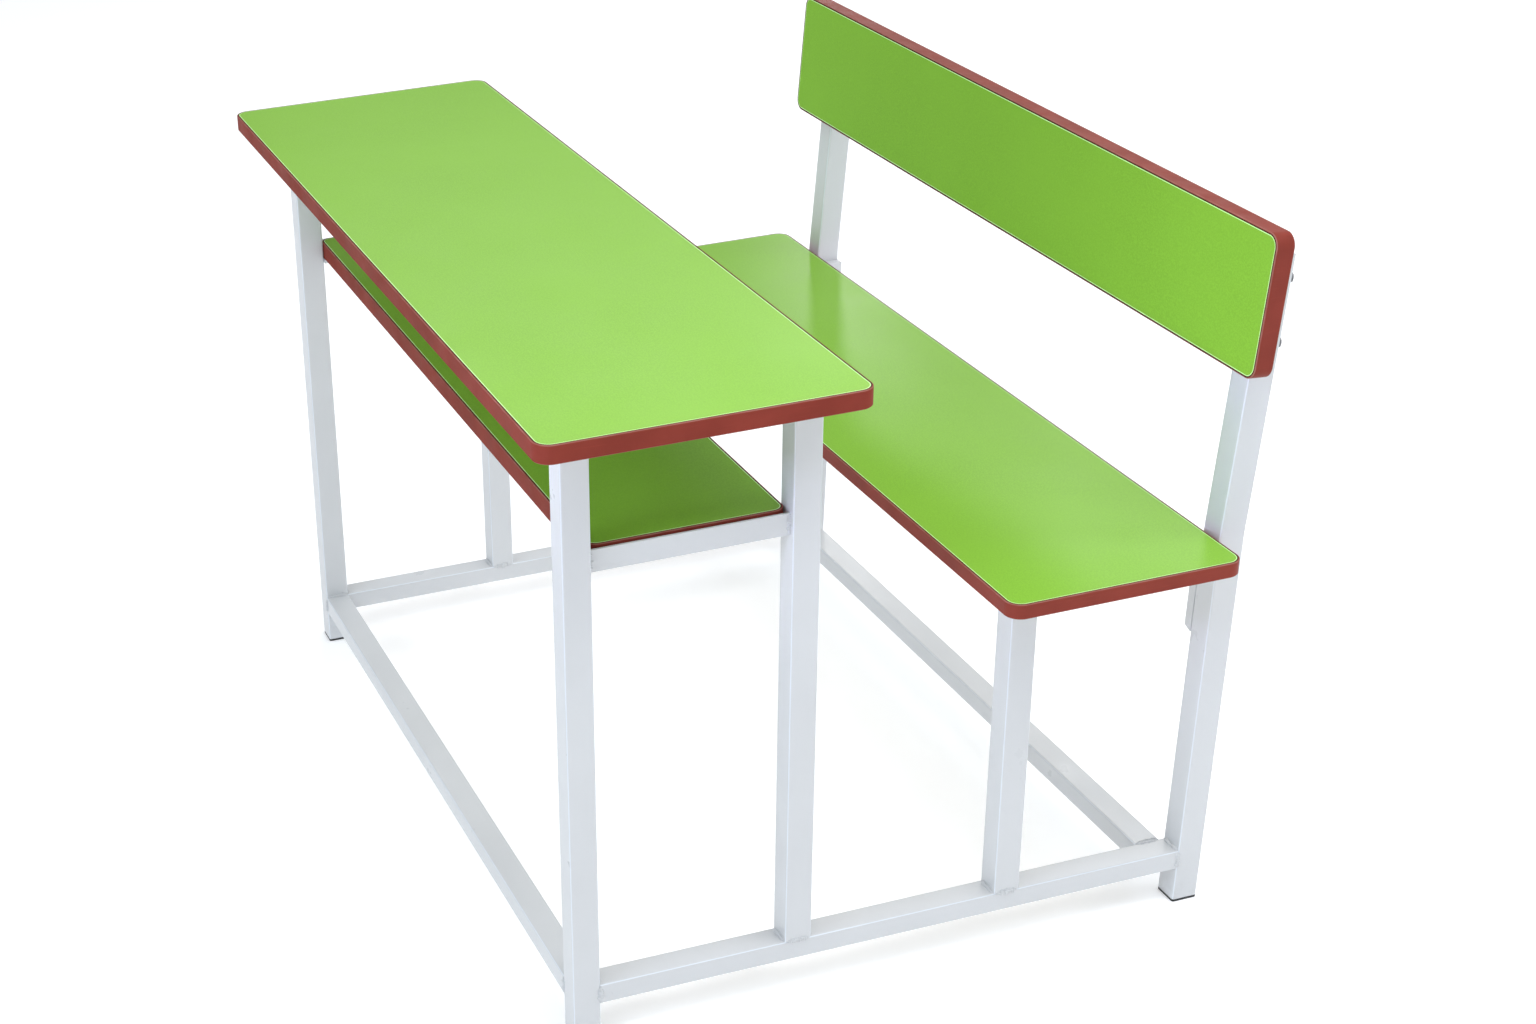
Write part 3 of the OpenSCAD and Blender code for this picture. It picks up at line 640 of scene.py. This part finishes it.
def stage_floor():
    """A large, pale, nearly white floor just under the feet, with a faint glow of its own."""
    half = 30.0
    level = -0.3 * MM
    mesh = bpy.data.meshes.new("floor")
    corners = ((-half, -half), (half, -half), (half, half), (-half, half))
    mesh.from_pydata([(x, y, level) for x, y in corners], [], [(0, 1, 2, 3)])
    floor = bpy.data.objects.new("floor", mesh)
    bpy.context.scene.collection.objects.link(floor)
    s = Shader(
        "pale_floor",
        Base_Color=(0.96, 0.96, 0.96, 1.0),
        Specular_IOR_Level=0.1,
        Emission_Color=(1.0, 1.0, 1.0, 1.0),
        Emission_Strength=0.2,
    )
    s.roughness(s.ramp(s.noise(3.0, 2.0), 0.3, 0.7, 0.55, 0.65))
    dress(floor, s.material)


def softbox(name, place, target, size, power, colour=(1.0, 1.0, 1.0), spread=180.0):
    """A rectangular area light of some watts, with its spread in degrees."""
    data = bpy.data.lights.new(name, "AREA")
    data.shape = "RECTANGLE"
    data.size, data.size_y = size
    data.energy = power
    data.color = colour
    data.spread = math.radians(spread)
    light = bpy.data.objects.new(name, data)
    light.location = place
    light.rotation_mode = "QUATERNION"
    light.rotation_quaternion = (Vector(target) - Vector(place)).to_track_quat("-Z", "Y")
    bpy.context.scene.collection.objects.link(light)


# Colours of light
PALE_BLUE = (0.78, 0.90, 1.0)
SKY_BLUE = (0.72, 0.86, 1.0)
VIOLET = (0.64, 0.62, 1.0)
BACK_BLUE = (0.80, 0.90, 1.0)

stage_floor()
# Overhead
softbox("ceiling", (1.1, -0.1, 3.2), (0.4, 0.0, 0.5), (2.6, 2.6), 21.5)
softbox("near_top", (1.1, 0.45, 2.4), (0.6, 0.3, 0.5), (0.8, 0.8), 10.5)
# From the front and the back, mostly for the frame
softbox("front_fill", (4.4, -5.9, 0.95), (0.0, 0.2, 0.35), (2.0, 1.4), 12.0, PALE_BLUE)
softbox("front_high", (1.8, -4.6, 3.3), (0.2, 0.3, 0.6), (2.2, 1.6), 76.0, SKY_BLUE)
softbox("upright_fill", (1.0, -2.7, 1.55), (0.53, 0.44, 0.68), (0.5, 0.5), 0.42, VIOLET, 14.0)
softbox("back_fill", (1.4, 5.0, 2.3), (0.1, 0.2, 0.2), (2.4, 1.6), 68.0, BACK_BLUE)
# Beyond the far end, where the desk top and the seat reflect them
softbox("high_panel", (-3.5, 3.1, 2.95), (0.5, 0.2, 0.5), (1.3, 0.9), 17.0)
softbox("desk_panel", (-3.5, 0.9, 2.6), (0.5, -0.2, 0.7), (1.3, 0.8), 8.0)
softbox("window_right", (-3.5, 1.90, 1.90), (-0.3, 0.3, 0.5), (0.22, 0.3), 4.6)


def studio_world():
    """A plain surround, softly brighter overhead than at eye level."""
    world = bpy.data.worlds.new("studio")
    world.use_nodes = True
    tree = world.node_tree
    background = tree.nodes["Background"]
    background.inputs["Color"].default_value = (0.97, 0.985, 1.0, 1.0)
    direction = tree.nodes.new("ShaderNodeTexCoord")
    height = tree.nodes.new("ShaderNodeSeparateXYZ")
    tree.links.new(direction.outputs["Generated"], height.inputs["Vector"])
    glow = tree.nodes.new("ShaderNodeMapRange")
    glow.interpolation_type = "SMOOTHSTEP"
    levels = {"From Min": 0.28, "From Max": 0.60, "To Min": 0.30, "To Max": 0.85}
    for socket, value in levels.items():
        glow.inputs[socket].default_value = value
    tree.links.new(height.outputs["Z"], glow.inputs["Value"])
    # Seen directly, the surround is as pale as the floor, so no horizon shows behind the desk
    path = tree.nodes.new("ShaderNodeLightPath")
    seen = tree.nodes.new("ShaderNodeMix")
    seen.inputs["B"].default_value = 0.88
    tree.links.new(path.outputs["Is Camera Ray"], seen.inputs["Factor"])
    tree.links.new(glow.outputs["Result"], seen.inputs["A"])
    tree.links.new(seen.outputs["Result"], background.inputs["Strength"])
    bpy.context.scene.world = world


studio_world()
bpy.context.scene.view_settings.view_transform = "Standard"


# Camera


def make_camera():
    """The camera, with its roll and shift."""
    data = bpy.data.cameras.new("camera")
    data.sensor_width = SENSOR_WIDTH
    data.lens = LENS
    data.shift_x, data.shift_y = SHIFT
    data.clip_end = 100.0
    camera = bpy.data.objects.new("camera", data)
    camera.location = EYE
    camera.rotation_mode = "QUATERNION"
    camera.rotation_quaternion = FORWARD.to_track_quat("-Z", "Y") @ Quaternion((0, 0, 1), -ROLL)
    bpy.context.scene.collection.objects.link(camera)
    bpy.context.scene.camera = camera


make_camera()
